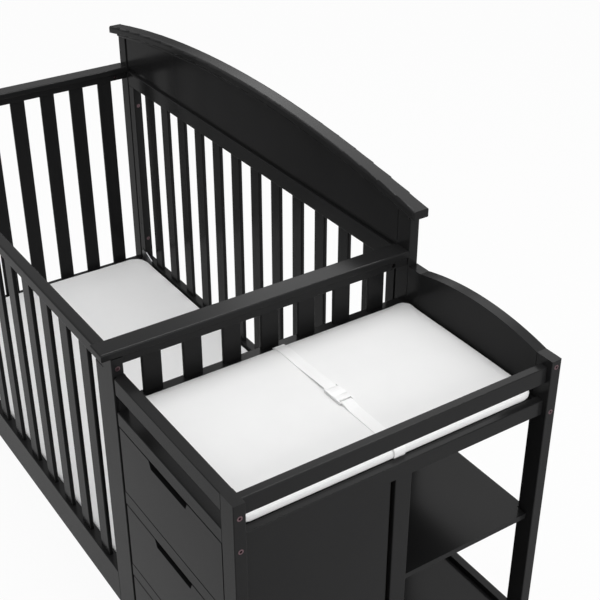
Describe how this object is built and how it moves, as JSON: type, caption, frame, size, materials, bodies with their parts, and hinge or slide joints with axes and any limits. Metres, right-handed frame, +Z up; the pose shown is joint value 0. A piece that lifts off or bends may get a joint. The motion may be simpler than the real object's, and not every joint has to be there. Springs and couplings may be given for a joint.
{
  "type": "crib with changing unit",
  "caption": "Slatted crib with an arched solid headboard and a raised changing unit at one end, with drawers in front, open shelves behind, a mattress and a strapped changing pad.",
  "frame": {"origin": "on the floor under the middle of the whole object's outline", "axes": "+X along the crib towards the changing unit, +Y from the front towards the headboard, +Z up"},
  "size_m": [1.925, 0.783, 1.083],
  "materials": {
    "lacquer": "satin black lacquer",
    "drawer_wood": "clear varnished board",
    "steel": "zinc plated",
    "bolt_steel": "copper-toned bolt heads",
    "mattress_cover": "white cover",
    "pad_cover": "white wipe-clean cover",
    "webbing": "white webbing",
    "buckle_plastic": "white plastic"
  },
  "bodies": {
    "crib": {"headboard_post_left": "lacquer", "headboard_post_right": "lacquer", "headboard_panel": "lacquer", "headboard_cap": "lacquer", "headboard_moulding": "lacquer", "headboard_top_rail": "lacquer", "headboard_bottom_rail": "lacquer", "headboard_stiles": "lacquer", "headboard_slats": "lacquer", "left_leg": "lacquer", "left_cap": "lacquer", "left_top_rail": "lacquer", "left_bottom_rail": "lacquer", "left_slats": "lacquer", "middle_leg": "lacquer", "middle_cap": "lacquer", "middle_top_rail": "lacquer", "middle_bottom_rail": "lacquer", "middle_slats": "lacquer", "front_top_rail": "lacquer", "front_bottom_rail": "lacquer", "front_stiles": "lacquer", "front_slats": "lacquer", "changer_front_post": "lacquer", "changer_back_post_right": "lacquer", "changer_back_post_left": "lacquer", "changer_middle_post": "lacquer", "changer_front_guard": "lacquer", "changer_side_guard": "lacquer", "changer_front_rail": "lacquer", "changer_dividers": "lacquer", "changer_bottom_rail": "lacquer", "changer_side_rail": "lacquer", "changer_side_bottom_rail": "lacquer", "changer_side_panel": "lacquer", "changer_inner_panel": "lacquer", "changer_back_panel": "lacquer", "changer_back_rail": "lacquer", "changer_deck": "lacquer", "changer_partition": "lacquer", "middle_shelf": "lacquer", "bottom_shelf": "lacquer", "runner_channels": "steel", "bolts_and_nuts": "bolt_steel"},
    "top_drawer": {"top_drawer_front": "lacquer", "top_drawer_box": "drawer_wood", "drawer_slides_top": "steel"},
    "middle_drawer": {"middle_drawer_front": "lacquer", "middle_drawer_box": "drawer_wood", "drawer_slides_middle": "steel"},
    "bottom_drawer": {"bottom_drawer_front": "lacquer", "bottom_drawer_box": "drawer_wood", "drawer_slides_bottom": "steel"},
    "mattress_support": {"support_frame": "steel", "support_straps": "steel", "support_brackets": "steel"},
    "mattress": {"mattress": "mattress_cover"},
    "changing_pad": {"changing_pad": "pad_cover", "pad_strap": "webbing", "strap_buckle": "buckle_plastic"}
  },
  "joints": [
    {"name": "top_drawer_slide", "type": "slide", "parent": "crib", "child": "top_drawer", "axis": [0, -1, 0], "range_m": [0, 0.25]},
    {"name": "middle_drawer_slide", "type": "slide", "parent": "crib", "child": "middle_drawer", "axis": [0, -1, 0], "range_m": [0, 0.25]},
    {"name": "bottom_drawer_slide", "type": "slide", "parent": "crib", "child": "bottom_drawer", "axis": [0, -1, 0], "range_m": [0, 0.25]},
    {"name": "mattress_height", "type": "slide", "parent": "crib", "child": "mattress_support", "axis": [0, 0, 1], "range_m": [0, 0.279]},
    {"name": "mattress_lift_out", "type": "slide", "parent": "mattress_support", "child": "mattress", "axis": [0, 0, 1], "range_m": [0, 0.3]},
    {"name": "changing_pad_lift_off", "type": "slide", "parent": "crib", "child": "changing_pad", "axis": [0, 0, 1], "range_m": [0, 0.2]}
  ]
}
